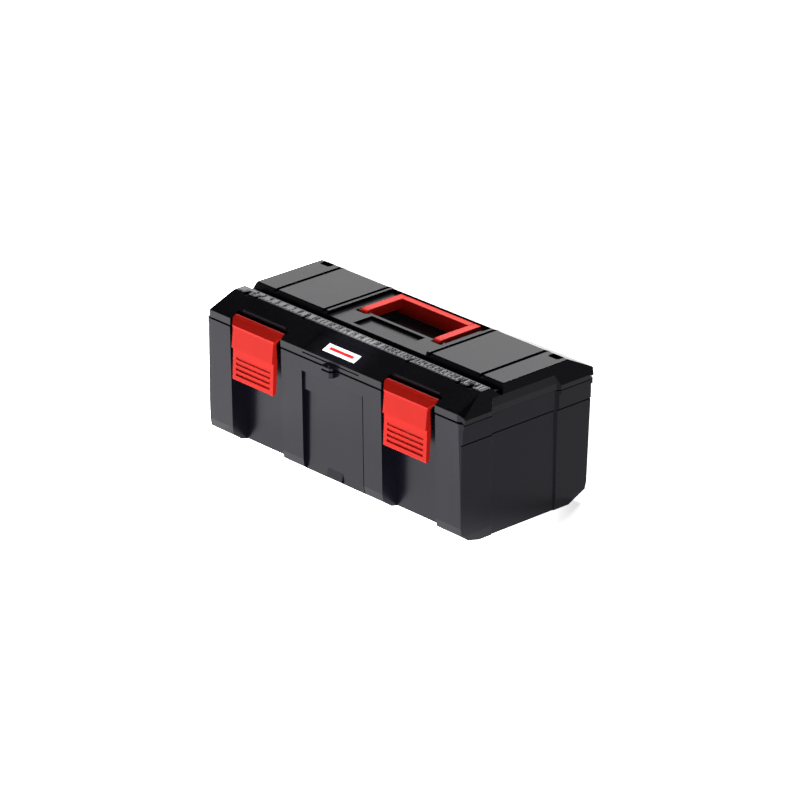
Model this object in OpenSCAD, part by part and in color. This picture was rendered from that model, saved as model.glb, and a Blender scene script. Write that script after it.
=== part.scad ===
// Toolbox with a hinged lid, two latches, a folding handle and a lift-out tray.
// Millimetres, +Z up, the origin on the floor under the middle of the box.
// X runs along the length, the front with the latches faces -Y.

/* [Overall] */
// Length over the rim flange
box_len = 336; // [334:1:340]
// Height from the floor to the top plate
box_h = 137.2; // [136.6:0.2:138]
// Wall thickness of the moulded shells
wall = 2.4; // [2.2:0.1:2.6]

/* [Latches] */
// Distance of each latch from the middle
latch_x = 100; // [99:0.5:101]
// Width of the latch face
latch_w = 54.6; // [50:0.2:56]
// Diameter of the latch pins
latch_pin_d = 3; // [2.8:0.1:3.2]

/* [Handle] */
// Overall width of the carry handle
handle_w = 104; // [102:1:105]
// Diameter of the handle pins
handle_pin_d = 4; // [3.6:0.2:4.4]

/* [Tray] */
// Height of the tray walls
tray_h = 41.7; // [36:0.1:42]
// Thickness of the tray walls
tray_wall = 1.8; // [1.6:0.1:2.2]

/* [Fits] */
// Radial running clearance of a part that turns on a pin
run_gap = 0.06; // [0.04:0.01:0.09]

/* [Hidden] */
$fn = 48;
hx = box_len / 2;
y_front = -78.5;
y_back = 79.5;
y_flange = 80.2;
y_lid = 81.2;
seam_z = 115.8;
lid_z = 117.7;
end_z = 114.8;
ledge_z = box_h - 0.3;
hinge_y = 82;
hinge_z = 117;
hinge_r = 4;
hinge_pin_d = 3.5;
latch_y = -72.5;
latch_z = 124.2;
lip_z = 124.7;
slope_y = -49;
slope_a = atan((ledge_z - lip_z) / (slope_y - y_front));
hpin_y = 7.5;
hpin_z = 131;
tray_z = 70.3;
tray_x = 157.5;
tray_y0 = -58.5;
tray_y1 = 72.5;
spine_y = 7;
panel_t = -0.5;

// ---- helpers ----

// Extrudes a YZ profile along X, centred on X = x0
module along_x(pts, len, x0 = 0) {
    translate([x0 - len / 2, 0, 0])
        rotate([90, 0, 90])
            linear_extrude(len) polygon(pts);
}

// Extrudes an XZ profile along Y from y0 to y1
module along_y(pts, y0, y1) {
    translate([0, y1, 0])
        rotate([90, 0, 0])
            linear_extrude(y1 - y0) polygon(pts);
}

// Box given by its two corners
module box(a, b) {
    translate(a) cube([b[0] - a[0], b[1] - a[1], b[2] - a[2]]);
}

// Round bar along X between two X values
module bar_x(x0, x1, y, z, r) {
    translate([x0, y, z]) rotate([0, 90, 0]) cylinder(h = x1 - x0, r = r);
}

// Mirrors its children to both ends of the box
module both() {
    children();
    mirror([1, 0, 0]) children();
}

// Plan outline with its corners cut, by c at the front
module plan(half, y0, y1, z0, z1, c = 3.6) {
    translate([0, 0, z0])
        linear_extrude(z1 - z0)
            polygon([[-half + c, y0], [half - c, y0], [half, y0 + 0.62 * c], [half, y1 - 1.2],
                [half - 2, y1], [-half + 2, y1], [-half, y1 - 1.2], [-half, y0 + 0.62 * c]]);
}

// ---- body ----

module body_outer() {
    intersection() {
        along_x([[-54, 0], [54.6, 0], [74, 9.6], [75.7, 16], [y_back, seam_z], [y_front, seam_z],
            [-76.9, 17], [-75.8, 9.6], [-67.5, 3.4]], 2 * hx + 20);
        along_y([[-hx + 3.2, 0], [hx - 3.2, 0], [hx - 2.6, 9], [hx - 2, seam_z - 21],
            [hx - 2.8, seam_z - 20.3], [hx - 2.8, seam_z - 20], [hx - 1.2, seam_z - 19.2],
            [hx - 1, seam_z], [-hx + 1, seam_z], [-hx + 1.2, seam_z - 19.2],
            [-hx + 2.8, seam_z - 20], [-hx + 2.8, seam_z - 20.3], [-hx + 2, seam_z - 21],
            [-hx + 2.6, 9]], -90, 90);
        plan(hx - 1, y_front, y_back, -1, seam_z + 1);
    }
    intersection() {
        plan(hx, y_front + 0.4, y_flange, seam_z - 5.5, seam_z);
        union() {
            both() box([hx - 6, -90, 0], [hx + 5, 90, 200]);
            box([-hx, 60, 0], [hx, 90, 200]);
        }
    }
}

module body_hollow() {
    difference() {
        intersection() {
            along_x([[-52, wall], [52, wall], [74.8 - wall, 13], [y_back - wall, seam_z + 5],
                [y_front + wall, seam_z + 5], [-76 + wall, 12.5], [-66, 3.6 + wall]], 2 * hx);
            along_y([[-hx + 4.6 + wall, 0], [hx - 4.6 - wall, 0],
                [hx - 2.4 - wall, seam_z + 5], [-hx + 2.4 + wall, seam_z + 5]], -90, 90);
            plan(hx - 4.4, y_front + wall, y_back - wall, 0, seam_z + 5);
        }
        both() box([hx - 4.2 - wall, -40.8 - wall, -1], [hx + 5, 38.2 + wall, seam_z + 9]);
        both() latch_bay(wall);
        both() box([latch_x - 37, -70, -1], [latch_x + 37, -52, 8]);
        box([-38.2 - wall, -90, -1], [40.3 + wall, y_front + 2.6 + wall, seam_z - 12.3 + wall]);
        box([-38.2 - wall, -90, -1], [40.3 + wall, y_front + 5.6 + wall, seam_z - 30.3 + wall]);
    }
}

// Column with slanted sides that bounds the recess in an end, grown by g for the wall behind
module end_zone(g) {
    translate([0, 0, -2])
        linear_extrude(160)
            polygon([[hx - 9, -32.4 - g], [hx + 9, -54 - g], [hx + 9, 51.4 + g], [hx - 9, 29.8 + g]]);
}

// Tapered bay for a latch; g grows it for the wall behind
module latch_bay(g) {
    translate([0, 0, -1 - g])
        linear_extrude(seam_z + 10)
            polygon([[latch_x - 34.5 - g, -92], [latch_x + 34.5 + g, -92],
                [latch_x + 34.5 + g, y_front], [latch_x + 32.5 + g, -62 + g],
                [latch_x - 32.5 - g, -62 + g], [latch_x - 34.5 - g, y_front]]);
}

module body_knuckle(x0, x1) {
    bar_x(x0, x1, hinge_y, hinge_z, hinge_r);
    along_x([[77.6, 104], [79.1, 104], [86, 111], [86, hinge_z], [77.6, hinge_z]],
        x1 - x0, (x0 + x1) / 2);
}

module body_shell() {
    color([0.19, 0.19, 0.2])
    difference() {
        union() {
            difference() {
                body_outer();
                body_hollow();
                both() latch_bay(0);
                box([-38.2, -92, -1], [40.3, y_front + 2.6, seam_z - 12.3]);
                box([-38.2, -92, -1], [40.3, y_front + 5.6, seam_z - 30.3]);
                both() box([hx - 6, -76, end_z - 0.9], [hx + 5, 76.2, 200]);
            }
            // foot in the middle of the front recess
            intersection() {
                body_outer();
                along_x([[-75.7, 0], [-75.7, 4], [y_front + 5.6, 17.4], [y_front + 9, 17.4],
                    [y_front + 9, 0]], 20);
            }
            // keeper in each latch bay
            both() along_x([[-61, 101], [-70.5, 103.8], [-73.6, 104.4], [-73.6, 107.4], [-61, 107.4]],
                65.2, latch_x);
            // tongue that centres the lid
            box([-58, y_front + 2.8, seam_z - 6], [58, y_front + 4.2, seam_z + 4]);
            box([-58, y_front + 1.6, seam_z - 6], [58, y_front + 4.2, seam_z - 2]);
            both() box([hx - 9.3, -38, seam_z - 6], [hx - 7.9, 35, seam_z + 4]);
            both() box([hx - 9.3, -38, seam_z - 6], [hx - 6, 35, seam_z - 2]);
            // ledges that carry the tray
            both() along_y([[hx - 5.6, 57], [hx - 14, 66], [hx - 14, 70], [hx - 5.6, 70]], -40, 30);
            // hinge knuckles
            both() body_knuckle(79.6, 89.6);
            both() body_knuckle(110.4, 120.4);
            // padlock eye
            plan_lug(7.4, 110.6, seam_z - 0.1);
        }
        // recess in the middle of each end, shallower on the rim band
        both() intersection() {
            along_y([[hx - 4.2, -1], [hx - 4.2, seam_z - 21.2], [hx - 4.9, seam_z - 20.5],
                [hx - 4.9, seam_z - 20.1], [hx - 3.6, seam_z - 19.4], [hx - 3.6, seam_z + 1],
                [hx + 5, seam_z + 1], [hx + 5, -1]], -60, 60);
            end_zone(0);
        }
        // raised bottom edge in each latch bay
        both() along_x([[-70, 3.1], [-60.5, 3.1], [-53, 0], [-53, -2], [-70, -2]], 66, latch_x);
        // crease beside the front recess
        along_x([[-90, -1], [-73.9, -1], [-74.9, 9.6], [-76, 17], [y_front + 0.8, seam_z - 12.3],
            [-90, seam_z - 12.3]], 1, 41.6);
        both() bar_x(78, 122, hinge_y, hinge_z, hinge_pin_d / 2);
        both() bar_x(89.6, 110.4, hinge_y, hinge_z, hinge_r + 0.4);
        padlock_hole();
    }
}

module plan_lug(w, z0, z1) {
    translate([0, 0, z0])
        linear_extrude(z1 - z0)
            polygon([[-w, y_front + 0.6], [w, y_front + 0.6], [w, -82.4], [w - 2.4, -84.8],
                [-w + 2.4, -84.8], [-w, -82.4]]);
}

module padlock_hole() {
    translate([0, -81.3, 100]) cylinder(h = 40, d = 4.4);
}

// ---- lid ----

module lid_outer() {
    intersection() {
        along_x([[y_front, lid_z], [-75.8, lid_z], [-75.8, end_z], [76, end_z], [76, lid_z],
            [y_lid, lid_z], [y_lid, 124.2], [y_lid - 0.6, 124.9], [55.6, box_h], [-22.2, box_h],
            [-22.9, box_h - 0.7], [-26.4, 128.4], [-28.6, 128.4], [-37.5, ledge_z],
            [slope_y, ledge_z], [y_front + 0.6, lip_z + 0.2], [y_front, lip_z - 0.4]], 2 * hx + 20);
        along_y([[-hx, end_z - 1], [hx, end_z - 1], [hx, 119], [hx - 7, box_h - 0.8],
            [hx - 7.8, box_h], [-hx + 7.8, box_h], [-hx + 7, box_h - 0.8], [-hx, 119]], -90, 90);
        plan(hx, y_front, y_lid, 100, 150, 6);
    }
}

module lid_hollow() {
    difference() {
        intersection() {
            along_x([[y_front + wall, end_z - 1], [y_lid - wall, end_z - 1], [y_lid - wall, 123.1],
                [53.9, box_h - wall], [-20.4, box_h - wall], [-24, 126], [-30.3, 126],
                [-39.6, box_h - wall - 0.3], [-48.4, box_h - wall - 0.3],
                [y_front + wall, 123]], 2 * hx);
            along_y([[-hx + wall, end_z - 2], [hx - wall, end_z - 2], [hx - wall, 118.4],
                [hx - 7.6 - wall, box_h - wall], [-hx + 7.6 + wall, box_h - wall],
                [-hx + wall, 118.4]], -90, 90);
        }
        both() end_recess(wall);
    }
}

// Recess in the middle of each end of the lid
module end_recess(g) {
    intersection() {
        along_y([[hx - 2.4 - g, 110], [hx - 2.6 - g, 121], [hx - 4 - g, 128.6 + g],
            [hx + 8, 128.6 + g], [hx + 8, 110]], -60, 60);
        end_zone(g);
    }
}

module lid_knuckle(x0, x1) {
    bar_x(x0, x1, hinge_y, hinge_z, hinge_r);
    along_x([[79, lid_z], [hinge_y, hinge_z + 0.2], [hinge_y + 3.9, hinge_z + 0.8],
        [y_lid, 124], [79, 124]], x1 - x0, (x0 + x1) / 2);
}

module lid_shell() {
    color([0.2, 0.2, 0.21])
    difference() {
        union() {
            difference() {
                lid_outer();
                lid_hollow();
                both() end_recess(0);
            }
            intersection() {
                lid_outer();
                union() {
                    both() box([latch_x - 37, -90, lid_z], [latch_x + 37, -65.1, 150]);
                    box([-58.4, -1, seam_z - 0.2], [58.4, 57.6, 150]);
                    box([-66.6, -25.2, box_h - 8.4], [66.6, 57.6, 150]);
                    both() box([65.2, -27, box_h - 5.6], [73.4, 64, 150]);
                    both() box([129.4, -27, box_h - 5.6], [138.4, 64, 150]);
                    both() box([140, 44, box_h - 8.4], [158, 62, 150]);
                    both() for (x = [68, 132, 146])
                        box([x - 6.4, -54, box_h - 6], [x + 6.4, -38.6, 150]);
                }
            }
            box([-58.4, -1, seam_z - 0.2], [58.4, 57.6, seam_z + 2]);
            // rib above each latch
            translate([0, y_front, lip_z])
                rotate([slope_a, 0, 0])
                    both() along_x([[11, -0.5], [11, 0], [12, 1.5], [13.6, 1.5], [14.2, -0.5]],
                        58, latch_x);
            plan_lug(7.4, lid_z, 119.7);
            // low web across each end of the vice groove
            both() box([hx - 12, -37, 127], [hx - 9, -23, 131.4]);
            both() lid_knuckle(90, 110);
        }
        // latch pockets
        both() box([latch_x - 34, -92, lid_z - 2], [latch_x + 34, -67.5, 150]);
        both() bar_x(latch_x - 36, latch_x + 36, latch_y, latch_z, latch_pin_d / 2);
        // lowered middle of the top and its finger well
        box([-64.2, -30, box_h - 3.4], [64.2, 55.4, 150]);
        box([-35, -20, box_h - 6.2], [35, 3, 150]);
        box([-56, 6.5, 118.5], [56, 55.4, 150]);
        both() box([42.6, 1.5, 118.5], [56, 30, 150]);
        both() bar_x(40.6, 58, hpin_y, hpin_z, handle_pin_d / 2);
        // panel grooves on the top plate
        both() box([131.6, -30, box_h - 3], [136, 70, 150]);
        both() box([67.2, -30, box_h - 3], [71.2, 70, 150]);
        both() translate([149, 52.4, box_h - 6])
            linear_extrude(20)
                polygon([[-4.6, -4.6], [4.6, -4.6], [6.6, -2.6], [6.6, 2.6], [4.6, 4.6], [-4.6, 4.6],
                    [-6.6, 2.6], [-6.6, -2.6]]);
        // sunk panel for the label
        translate([0, y_front, lip_z])
            rotate([slope_a, 0, 0])
                box([-36.4, 1, panel_t], [36.6, 23.8, 5]);
        // slot along the lip
        box([-37, -80, 120.8], [37, y_front + 1.3, 122.2]);
        // room for the body knuckles
        both() bar_x(79.2, 90, hinge_y, hinge_z, hinge_r + 0.4);
        both() bar_x(110, 120.8, hinge_y, hinge_z, hinge_r + 0.4);
        both() bar_x(85, 115, hinge_y, hinge_z, hinge_pin_d / 2 + run_gap);
        padlock_hole();
        // notches along the front edge of the ledge
        both() for (n = [[68, 2.4, 4], [132, 2.8, 5], [146, 4.6, 6.6]])
            translate([n[0], slope_y, box_h - 2.6])
                linear_extrude(10)
                    polygon([[-n[1], -2], [n[1], -2], [0.8, n[2]], [-0.8, n[2]]]);
        // slanted cut at the front corners
        both() translate([hx - 6.8, slope_y, ledge_z]) rotate([0, 46.6, -21.1])
            translate([-60, -60, 0]) cube([120, 120, 40]);
    }
}

// ---- label ----

module label_plate() {
    color([0.9, 0.9, 0.9])
    translate([0, y_front, lip_z])
        rotate([slope_a, 0, 0])
            box([-17.4, 7, panel_t], [23.6, 16.8, panel_t + 0.8]);
}

// ---- latches ----

module latch_at(x) {
    color([0.85, 0.13, 0.1])
    difference() {
        union() {
            bar_x(x - 32.3, x + 32.3, latch_y, latch_z, 3);
            // leg, narrowing to the face
            intersection() {
                along_x([[-73.6, 127], [-81.2, 120.4], [-80.9, 117.2], [-78.4, 117.2], [-71.4, 121.8]],
                    66.8, x);
                along_y([[x - 33.4, 128], [x + 33.4, 128], [x + 32.6, 124.6], [x + 28, 120.4],
                    [x + latch_w / 2, 117], [x - latch_w / 2, 117], [x - 28, 120.4],
                    [x - 32.6, 124.6]], -90, -60);
            }
            // face
            along_x([[-80.8, 120.6], [-83, 99.4], [-81, 98.6], [-82.3, 69.2], [-81.6, 68.4],
                [-79.8, 68.4], [-78.7, 97.6], [-80.6, 101], [-78.6, 118]], latch_w, x);
            // side flanges
            for (s = [-1, 1])
                along_x([[-80, 118], [-82.4, 100], [-80.6, 98.6], [-81.8, 69], [-78.2, 70],
                    [-76.4, 97], [-77.4, 118]], 2, x + s * (latch_w / 2 - 1));
            // hook
            along_x([[-80.6, 96.4], [-74.2, 101], [-74, 102.4], [-80.6, 102.4]], 40, x);
        }
        bar_x(x - 40, x + 40, latch_y, latch_z, latch_pin_d / 2 + run_gap);
        // grip grooves
        for (i = [0:3])
            box([x - 23, -85, 88.6 - 5.2 * i], [x + 23, -80.3, 91.2 - 5.2 * i]);
    }
}

module latch_left() { latch_at(-latch_x); }

module latch_right() { latch_at(latch_x); }

module latch_pin_at(x) {
    color([0.75, 0.76, 0.78])
    bar_x(x - 36, x + 36, latch_y, latch_z, latch_pin_d / 2);
}

module latch_pin_left() { latch_pin_at(-latch_x); }

module latch_pin_right() { latch_pin_at(latch_x); }

// ---- carry handle ----

module carry_handle() {
    color([0.85, 0.13, 0.1])
    difference() {
        union() {
            both() {
                bar_x(handle_w / 2 - 8.6, handle_w / 2, hpin_y, hpin_z, 4.6);
                along_x([[hpin_y, 126.4], [48, 126.4], [54.4, 126.4], [54.4, 135.8], [10.5, 135.8],
                    [hpin_y, 135.4]], 8.6, handle_w / 2 - 4.3);
            }
            along_x([[47.4, 121.4], [48.4, 120.3], [53.4, 120.3], [54.4, 121.4], [54.4, 135.8],
                [47.4, 135.8]], handle_w);
        }
        // seam between each arm and the grip
        both() box([handle_w / 2 - 9, 46, 134.9], [handle_w / 2 - 8.3, 56, 137]);
        both() bar_x(handle_w / 2 - 12, handle_w / 2 + 6, hpin_y, hpin_z,
            handle_pin_d / 2 + run_gap);
    }
}

module handle_pin_right() {
    color([0.75, 0.76, 0.78])
    bar_x(40.6, 58, hpin_y, hpin_z, handle_pin_d / 2);
}

module handle_pin_left() { mirror([1, 0, 0]) handle_pin_right(); }

// ---- hinge pins ----

module hinge_pin_right() {
    color([0.75, 0.76, 0.78])
    bar_x(79.6, 120.4, hinge_y, hinge_z, hinge_pin_d / 2);
}

module hinge_pin_left() { mirror([1, 0, 0]) hinge_pin_right(); }

// ---- tray ----

module tray() {
    color([0.62, 0.63, 0.65])
    difference() {
        union() {
            difference() {
                box([-tray_x, tray_y0, tray_z], [tray_x, tray_y1, tray_z + tray_h]);
                box([-tray_x + tray_wall, tray_y0 + tray_wall, tray_z + tray_wall],
                    [tray_x - tray_wall, tray_y1 - tray_wall, tray_z + tray_h + 1]);
            }
            // spine along the middle
            box([-tray_x, spine_y - 1, tray_z], [tray_x, spine_y + 1, tray_z + tray_h - 8]);
            // sockets for the grip
            for (s = [-1, 1])
                box([s * 52 - 6, spine_y - 5, tray_z], [s * 52 + 6, spine_y + 5, tray_z + tray_h - 6]);
            // fixed walls of the front row
            for (x = [-52, 52])
                box([x - 0.9, tray_y0, tray_z], [x + 0.9, spine_y, tray_z + tray_h - 8]);
            // rails for the loose dividers
            for (x = [-78, 78], y = [spine_y + 1, tray_y1 - 3.2], d = [-2.2, 1])
                box([x + d, y, tray_z], [x + d + 1.2, y + 2, tray_z + tray_h - 9]);
        }
        for (s = [-1, 1])
            box([s * 52 - 3, spine_y - 2.5, tray_z + 12], [s * 52 + 3, spine_y + 2.5, 200]);
    }
}

module tray_grip() {
    color([0.85, 0.13, 0.1])
    difference() {
        union() {
            box([-57, spine_y - 4, 103], [57, spine_y + 4, 111]);
            for (s = [-1, 1])
                box([s * 52 - 3, spine_y - 2.5, tray_z + 12], [s * 52 + 3, spine_y + 2.5, 105]);
        }
        for (s = [-1, 1])
            translate([s * 57, 0, 111]) rotate([0, 45, 0]) cube([3, 40, 3], center = true);
    }
}

module divider_at(x) {
    color([0.62, 0.63, 0.65])
    box([x - 0.8, spine_y + 1.2, tray_z + tray_wall], [x + 0.8, tray_y1 - 2, tray_z + tray_h - 9]);
}

module tray_divider_left() { divider_at(-78); }

module tray_divider_right() { divider_at(78); }

body_shell();
lid_shell();
latch_left();
latch_right();
latch_pin_left();
latch_pin_right();
carry_handle();
handle_pin_left();
handle_pin_right();
hinge_pin_left();
hinge_pin_right();
tray();
tray_grip();
tray_divider_left();
tray_divider_right();
label_plate();
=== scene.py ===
import math
import bmesh
import bpy
from mathutils import Matrix, Vector


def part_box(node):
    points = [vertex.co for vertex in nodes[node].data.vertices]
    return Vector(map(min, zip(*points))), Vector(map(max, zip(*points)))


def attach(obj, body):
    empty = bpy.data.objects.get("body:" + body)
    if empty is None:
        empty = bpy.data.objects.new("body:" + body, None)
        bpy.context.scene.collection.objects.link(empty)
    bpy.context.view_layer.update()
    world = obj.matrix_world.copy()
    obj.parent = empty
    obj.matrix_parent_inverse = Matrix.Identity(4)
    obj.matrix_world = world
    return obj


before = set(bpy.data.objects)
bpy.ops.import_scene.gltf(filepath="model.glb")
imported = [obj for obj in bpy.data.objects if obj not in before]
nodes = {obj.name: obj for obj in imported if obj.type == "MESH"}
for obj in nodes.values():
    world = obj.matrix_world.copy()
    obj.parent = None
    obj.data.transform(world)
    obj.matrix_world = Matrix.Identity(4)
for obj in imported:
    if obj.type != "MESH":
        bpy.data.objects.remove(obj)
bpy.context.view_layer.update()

MM = 0.001


# ---------------------------------------------------------------- materials

def new_mat(name):
    m = bpy.data.materials.new(name)
    m.use_nodes = True
    nt = m.node_tree
    nt.nodes.clear()
    out = nt.nodes.new("ShaderNodeOutputMaterial")
    bsdf = nt.nodes.new("ShaderNodeBsdfPrincipled")
    nt.links.new(bsdf.outputs[0], out.inputs[0])
    return m, nt, bsdf


def moulded(name, col, var, rough, rough_var, grain, bump,
            spec=0.5, tint=(1, 1, 1), wave=0.0):
    """Moulded plastic: a fine grain bump, a slow tone change and slightly uneven gloss.

    wave adds a broad, shallow bump like the sink of a large moulding.
    """
    m, nt, b = new_mat(name)
    tc = nt.nodes.new("ShaderNodeTexCoord")
    slow = nt.nodes.new("ShaderNodeTexNoise")
    slow.inputs["Scale"].default_value = 22
    slow.inputs["Detail"].default_value = 3
    nt.links.new(tc.outputs["Object"], slow.inputs["Vector"])
    ramp = nt.nodes.new("ShaderNodeValToRGB")
    ramp.color_ramp.elements[0].position = 0.3
    ramp.color_ramp.elements[1].position = 0.7
    ramp.color_ramp.elements[0].color = [c * (1 - var) for c in col] + [1]
    ramp.color_ramp.elements[1].color = [min(1, c * (1 + var)) for c in col] + [1]
    nt.links.new(slow.outputs["Fac"], ramp.inputs["Fac"])
    nt.links.new(ramp.outputs["Color"], b.inputs["Base Color"])
    rr = nt.nodes.new("ShaderNodeMapRange")
    rr.inputs["To Min"].default_value = rough - rough_var
    rr.inputs["To Max"].default_value = rough + rough_var
    nt.links.new(slow.outputs["Fac"], rr.inputs["Value"])
    nt.links.new(rr.outputs["Result"], b.inputs["Roughness"])
    fine = nt.nodes.new("ShaderNodeTexNoise")
    fine.inputs["Scale"].default_value = grain
    fine.inputs["Detail"].default_value = 2
    nt.links.new(tc.outputs["Object"], fine.inputs["Vector"])
    bp = nt.nodes.new("ShaderNodeBump")
    bp.inputs["Strength"].default_value = bump
    bp.inputs["Distance"].default_value = 0.00004
    nt.links.new(fine.outputs["Fac"], bp.inputs["Height"])
    last = bp
    if wave:
        soft = nt.nodes.new("ShaderNodeTexNoise")
        soft.inputs["Scale"].default_value = 9
        nt.links.new(tc.outputs["Object"], soft.inputs["Vector"])
        b2 = nt.nodes.new("ShaderNodeBump")
        b2.inputs["Strength"].default_value = wave
        b2.inputs["Distance"].default_value = 0.0006
        nt.links.new(soft.outputs["Fac"], b2.inputs["Height"])
        nt.links.new(bp.outputs["Normal"], b2.inputs["Normal"])
        last = b2
    nt.links.new(last.outputs["Normal"], b.inputs["Normal"])
    b.inputs["IOR"].default_value = 1.5
    b.inputs["Specular IOR Level"].default_value = spec
    b.inputs["Specular Tint"].default_value = (*tint, 1)
    return m


def steel(name):
    m, nt, b = new_mat(name)
    tc = nt.nodes.new("ShaderNodeTexCoord")
    mp = nt.nodes.new("ShaderNodeMapping")
    mp.inputs["Scale"].default_value = (30, 900, 900)
    nz = nt.nodes.new("ShaderNodeTexNoise")
    nz.inputs["Scale"].default_value = 2
    nt.links.new(tc.outputs["Object"], mp.inputs["Vector"])
    nt.links.new(mp.outputs["Vector"], nz.inputs["Vector"])
    rr = nt.nodes.new("ShaderNodeMapRange")
    rr.inputs["To Min"].default_value = 0.2
    rr.inputs["To Max"].default_value = 0.4
    nt.links.new(nz.outputs["Fac"], rr.inputs["Value"])
    nt.links.new(rr.outputs["Result"], b.inputs["Roughness"])
    b.inputs["Base Color"].default_value = (0.55, 0.56, 0.58, 1)
    b.inputs["Metallic"].default_value = 1.0
    return m


COOL = (0.92, 0.9, 1.0)
# the body is the lid's black plastic set a little darker: the lower value paints shade on the
# body's end faces
BLACK_BODY_SHADED = moulded("black_body_shaded", (0.0028, 0.0026, 0.0056), 0.12, 0.25, 0.04, 2600, 0.35,
                spec=0.11, tint=COOL, wave=0.05)
BLACK_LID = moulded("black_lid", (0.0036, 0.0035, 0.0052), 0.12, 0.24, 0.04, 2600, 0.35,
                    spec=0.13, tint=COOL, wave=0.04)
# painted light: this pale grey stands for the light on the top of the lid's black ledge
LIT_LEDGE_GREY = moulded("ruler_strip_painted_light", (0.15, 0.15, 0.155), 0.14, 0.4, 0.05, 1400, 0.4,
                spec=0.25, tint=COOL)
MARK = moulded("ruler_marks", (0.002, 0.002, 0.003), 0.1, 0.6, 0.05, 2600, 0.3, spec=0.05)
# one red plastic in two tones: the latches' darker red paints shade on them, and the brighter
# red paints light on the handle and the tray grip
RED_SHADED_LATCH = moulded("red_latch_shaded", (0.43, 0.011, 0.006), 0.05, 0.45, 0.04, 1500, 0.18,
              spec=0.05, wave=0.03)
RED_LIT_HANDLE = moulded("red_handle_lit", (0.9, 0.03, 0.018), 0.05, 0.42, 0.04, 1500, 0.18,
                     spec=0.08)
GREY = moulded("tray_grey", (0.05, 0.05, 0.055), 0.1, 0.42, 0.05, 2200, 0.3)
WHITE = moulded("label_white", (0.82, 0.82, 0.83), 0.02, 0.3, 0.04, 900, 0.05)
STRIPE = moulded("label_red", (0.6, 0.01, 0.01), 0.03, 0.35, 0.04, 900, 0.05)
STEEL = steel("pin_steel")

looks = {
    "body_shell": BLACK_BODY_SHADED, "lid_shell": BLACK_LID, "latch_left": RED_SHADED_LATCH, "latch_right": RED_SHADED_LATCH,
    "carry_handle": RED_LIT_HANDLE, "tray": GREY, "tray_grip": RED_LIT_HANDLE,
    "tray_divider_left": GREY, "tray_divider_right": GREY, "label_plate": WHITE,
}
for n, o in nodes.items():
    o.data.materials.clear()
    o.data.materials.append(looks.get(n, STEEL))


# ---------------------------------------------------------------- edges of the moulded parts

def soften(o, width, angle=11, flat=0.6):
    """Welds and merges flat faces, then rounds the edges of a CAD piece."""
    w = o.modifiers.new("weld", "WELD")
    w.merge_threshold = 2e-6
    d = o.modifiers.new("flat", "DECIMATE")
    d.decimate_type = "DISSOLVE"
    d.angle_limit = math.radians(flat)
    b = o.modifiers.new("bevel", "BEVEL")
    b.limit_method = "ANGLE"
    b.angle_limit = math.radians(angle)
    b.width = width
    b.segments = 2
    for p in o.data.polygons:
        p.use_smooth = False


for name, width in (("body_shell", 0.0004), ("lid_shell", 0.0004), ("latch_left", 0.00015),
                    ("latch_right", 0.00015), ("carry_handle", 0.0003), ("tray", 0.0003),
                    ("tray_grip", 0.0006), ("tray_divider_left", 0.0002),
                    ("tray_divider_right", 0.0002), ("label_plate", 0.00015)):
    soften(nodes[name], width, flat=0.05 if "latch" in name else 0.6)


# ---------------------------------------------------------------- helpers for made pieces

def finish_piece(bm, name, mat, body):
    me = bpy.data.meshes.new(name)
    bm.to_mesh(me)
    bm.free()
    o = bpy.data.objects.new(name, me)
    bpy.context.scene.collection.objects.link(o)
    me.materials.append(mat)
    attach(o, body)


def add_box(bm, lo, hi, bev=0.0):
    """Adds a box from lo to hi, its edges cut by bev."""
    r = bmesh.ops.create_cube(bm, size=1.0)
    vs = r["verts"]
    lo, hi = Vector(lo), Vector(hi)
    for v in vs:
        v.co = Vector([(lo[i] + hi[i]) / 2 + v.co[i] * (hi[i] - lo[i]) for i in range(3)])
    if bev:
        es = list({e for v in vs for e in v.link_edges})
        bmesh.ops.bevel(bm, geom=es, offset=bev, segments=1, affect="EDGES")


# ---------------------------------------------------------------- ruler on the lid ledge

lid_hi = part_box("lid_shell")[1]
lab_lo, lab_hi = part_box("label_plate")
LEDGE_FRONT, LEDGE_BACK = -49 * MM, -37.5 * MM
LEDGE_DROP = 0.3 * MM               # the ledge lies this far below the lid's top
ledge_z = lid_hi.z - LEDGE_DROP

STRIP_X0, STRIP_X1 = -158.6, 157.4  # ends of the ruler strip, mm
STRIP_SPLIT = 6.8 * MM              # the notches end in front of this line
NOTCHES = ((-146, 5.2), (-132, 3.2), (-68, 2.8),
           (68, 2.8), (132, 3.2), (146, 5.2))  # middle and half width, mm
RULER_ZERO = 159                    # the zero mark is this far left of the middle, mm
INCH = 25.4 * MM

# which strokes make up each digit, lettered as on a seven-segment display
SEG = {0: "abcdef", 1: "bc", 2: "abged", 3: "abgcd", 4: "fgbc", 5: "afgcd", 6: "afgedc",
       7: "abc", 8: "abcdefg", 9: "abcdfg"}


def digit(bm, d, x, y, w, h, t, z0, z1):
    """One digit built of strokes t wide, its lower left corner at x, y."""
    bars = {"a": (0, h - t, w, h), "g": (0, h / 2 - t / 2, w, h / 2 + t / 2), "d": (0, 0, w, t),
            "f": (0, h / 2, t, h), "e": (0, 0, t, h / 2), "b": (w - t, h / 2, w, h),
            "c": (w - t, 0, w, h / 2)}
    for s in SEG[d]:
        x0, y0, x1, y1 = bars[s]
        add_box(bm, (x + x0, y + y0, z0), (x + x1, y + y1, z1))


def number(bm, n, xc, y, w, h, t, z0, z1):
    """A whole number centred on xc."""
    ds = [int(c) for c in str(n)]
    gap = w * 0.35
    total = len(ds) * w + (len(ds) - 1) * gap
    x = xc - total / 2
    for d in ds:
        digit(bm, d, x, y, w, h, t, z0, z1)
        x += w + gap
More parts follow.
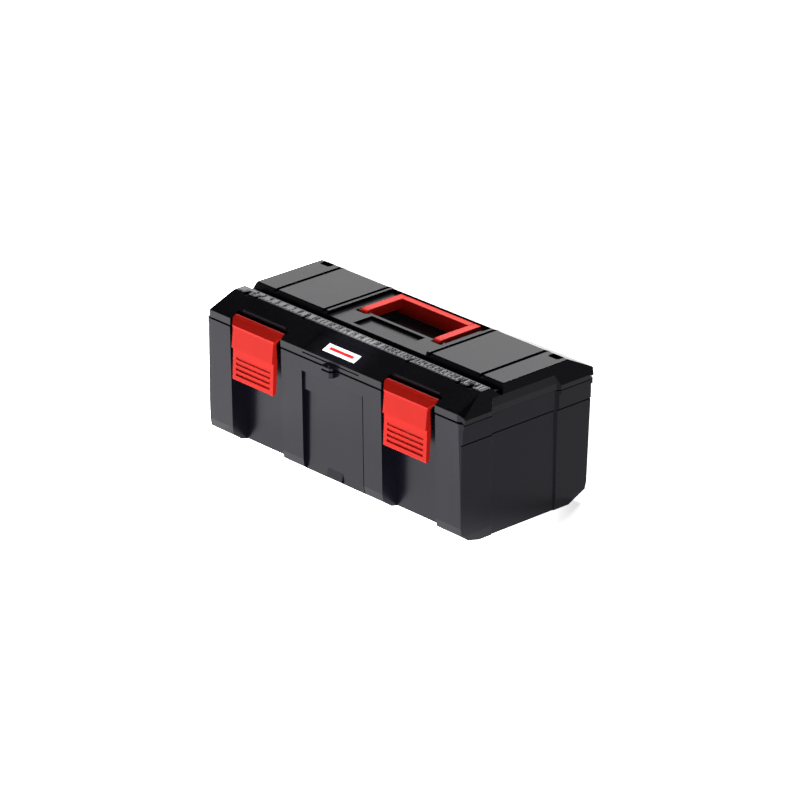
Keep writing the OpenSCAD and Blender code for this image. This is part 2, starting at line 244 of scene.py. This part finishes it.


# the strip, pale grey as painted light on the black ledge's top, keeps clear of the notches in
# the ledge's front edge
z0, z1 = ledge_z - 0.1 * MM, ledge_z + 0.13 * MM
split_y = LEDGE_FRONT + STRIP_SPLIT
bm = bmesh.new()
add_box(bm, (STRIP_X0 * MM, split_y, z0), (STRIP_X1 * MM, LEDGE_BACK - 0.5 * MM, z1))
edge = STRIP_X0
for x, half in NOTCHES + ((STRIP_X1, 0),):
    add_box(bm, (edge * MM, LEDGE_FRONT + 0.3 * MM, z0), ((x - half) * MM, split_y, z1))
    edge = x + half
finish_piece(bm, "ruler_strip_painted_light", LIT_LEDGE_GREY, "lid")

# millimetre ticks, every fifth one longer and wider, with none over a notch
z0, z1 = z1 - 0.06 * MM, z1 + 0.12 * MM
tick_y = LEDGE_FRONT + 0.5 * MM
bm = bmesh.new()
for i in range(2, 316):
    if any(abs(i - RULER_ZERO - x) < half + 0.8 for x, half in NOTCHES):
        continue
    x = (i - RULER_ZERO) * MM
    length, width = (2.4, 0.8) if i % 5 == 0 else (1.3, 0.34)
    add_box(bm, (x - width / 2 * MM, tick_y, z0),
            (x + width / 2 * MM, tick_y + length * MM, z1))

# centimetre numbers
for c in range(2, 32):
    number(bm, c, (c * 10 - RULER_ZERO) * MM, LEDGE_FRONT + 3.5 * MM,
           3.3 * MM, 6.2 * MM, 1.2 * MM, z0, z1)

# ticks in eighths of an inch along the back edge
for i in range(1, 100):
    x = -RULER_ZERO * MM + i * INCH / 8
    add_box(bm, (x - 0.35 * MM, LEDGE_BACK - 1.6 * MM, z0),
            (x + 0.35 * MM, LEDGE_BACK - 0.6 * MM, z1))
finish_piece(bm, "ruler_marks", MARK, "lid")

# one plain red bar printed on the label
SLOPE_RISE, SLOPE_RUN = 12.2, 29.5  # of the lid's front slope, mm
tilt = math.atan2(SLOPE_RISE, SLOPE_RUN)
lab_mid = (Vector(lab_lo) + Vector(lab_hi)) / 2
bm = bmesh.new()
add_box(bm, (-15.5 * MM, -1.7 * MM, 0.3 * MM), (15.5 * MM, 1.7 * MM, 0.44 * MM),
        bev=0.06 * MM)
bm.transform(Matrix.Translation(lab_mid) @ Matrix.Rotation(tilt, 4, "X"))
finish_piece(bm, "label_bar", STRIPE, "lid")


# ---------------------------------------------------------------- light, floor and camera

def area(name, loc, target, size, power, size_y=None, shadow=True):
    d = bpy.data.lights.new(name, "AREA")
    d.energy = power
    d.use_shadow = shadow
    d.size = size
    if size_y:
        d.shape = "RECTANGLE"
        d.size_y = size_y
    o = bpy.data.objects.new(name, d)
    bpy.context.scene.collection.objects.link(o)
    o.location = loc
    o.rotation_euler = (Vector(target) - Vector(loc)).to_track_quat("-Z", "Y").to_euler()


bm = bmesh.new()
bmesh.ops.create_grid(bm, x_segments=1, y_segments=1, size=6)
me = bpy.data.meshes.new("floor")
bm.to_mesh(me)
bm.free()
floor = bpy.data.objects.new("floor", me)
bpy.context.scene.collection.objects.link(floor)
floor.location = (0, 0, -0.0002)
# the floor glows in front and to the left only, so the front mirrors it and the end stays dark
fm, fnt, fb = new_mat("floor_white")
fb.inputs["Base Color"].default_value = (0.9, 0.9, 0.9, 1)
fb.inputs["Roughness"].default_value = 0.9
fb.inputs["Specular IOR Level"].default_value = 0.1
ftc = fnt.nodes.new("ShaderNodeTexCoord")
fdot = fnt.nodes.new("ShaderNodeVectorMath")
fdot.operation = "DOT_PRODUCT"
fdot.inputs[1].default_value = (-0.7, -0.7, 0)
fnt.links.new(ftc.outputs["Object"], fdot.inputs[0])
fmr = fnt.nodes.new("ShaderNodeMapRange")
fmr.interpolation_type = "SMOOTHSTEP"
fmr.inputs["From Min"].default_value = -0.17
fmr.inputs["From Max"].default_value = -0.03
fmr.inputs["To Min"].default_value = 0.62
fmr.inputs["To Max"].default_value = 3.9
fnt.links.new(fdot.outputs["Value"], fmr.inputs["Value"])
fb.inputs["Emission Color"].default_value = (1, 1, 1, 1)
fnt.links.new(fmr.outputs["Result"], fb.inputs["Emission Strength"])
me.materials.append(fm)

# a pale horizon under a dark ceiling
world = bpy.data.worlds.new("studio")
bpy.context.scene.world = world
world.use_nodes = True
wnt = world.node_tree
wtc = wnt.nodes.new("ShaderNodeTexCoord")
wsep = wnt.nodes.new("ShaderNodeSeparateXYZ")
wnt.links.new(wtc.outputs["Generated"], wsep.inputs[0])
wmr = wnt.nodes.new("ShaderNodeMapRange")
wmr.interpolation_type = "SMOOTHSTEP"
wmr.inputs["From Min"].default_value = 0.05
wmr.inputs["From Max"].default_value = 0.5
wmr.inputs["To Min"].default_value = 0.5
wmr.inputs["To Max"].default_value = 0.03
wnt.links.new(wsep.outputs["Z"], wmr.inputs["Value"])
wnt.links.new(wmr.outputs["Result"], wnt.nodes["Background"].inputs[1])
wnt.nodes["Background"].inputs[0].default_value = (1, 1, 1, 1)

area("back_left", (-1.6, 1.47, 0.97), (0, 0, 0.12), 1.3, 8.2, size_y=0.9, shadow=False)
area("top_back", (-0.75, 1.5, 1.85), (0, 0, 0.1), 0.8, 75)
snoot = bpy.data.lights.new("label_snoot", "SPOT")
snoot.energy = 150
snoot.spot_size = math.radians(2.6)
snoot.spot_blend = 0.5
snoot.shadow_soft_size = 0.01
snoot_o = bpy.data.objects.new("label_snoot", snoot)
bpy.context.scene.collection.objects.link(snoot_o)
snoot_o.location = Vector(lab_mid) + Vector((0.45, -0.75, 1.2))
snoot_o.rotation_euler = (Vector(lab_mid) - snoot_o.location).to_track_quat("-Z", "Y").to_euler()

PICTURE = 800   # steps across the picture, in which the scale and the shifts are counted
SCALE = 1.1236  # steps per mm at the distance of the aim
az, el, dist = math.radians(47.33), math.radians(23.04), 4.3
back = Vector((math.sin(az) * math.cos(el), -math.cos(az) * math.cos(el), math.sin(el)))
aim = Vector((0, -0.0025, 0.0795))
cam = bpy.data.cameras.new("camera")
cam.sensor_width = 36
cam.lens = SCALE * dist / MM * cam.sensor_width / PICTURE
cam.shift_x = 6.07 / PICTURE
cam.shift_y = -15.2 / PICTURE
cam.clip_end = 50
co = bpy.data.objects.new("camera", cam)
bpy.context.scene.collection.objects.link(co)
co.location = aim + back * dist
co.rotation_mode = "QUATERNION"
co.rotation_quaternion = (-back).to_track_quat("-Z", "Y")
bpy.context.scene.camera = co
bpy.context.scene.view_settings.view_transform = "Standard"
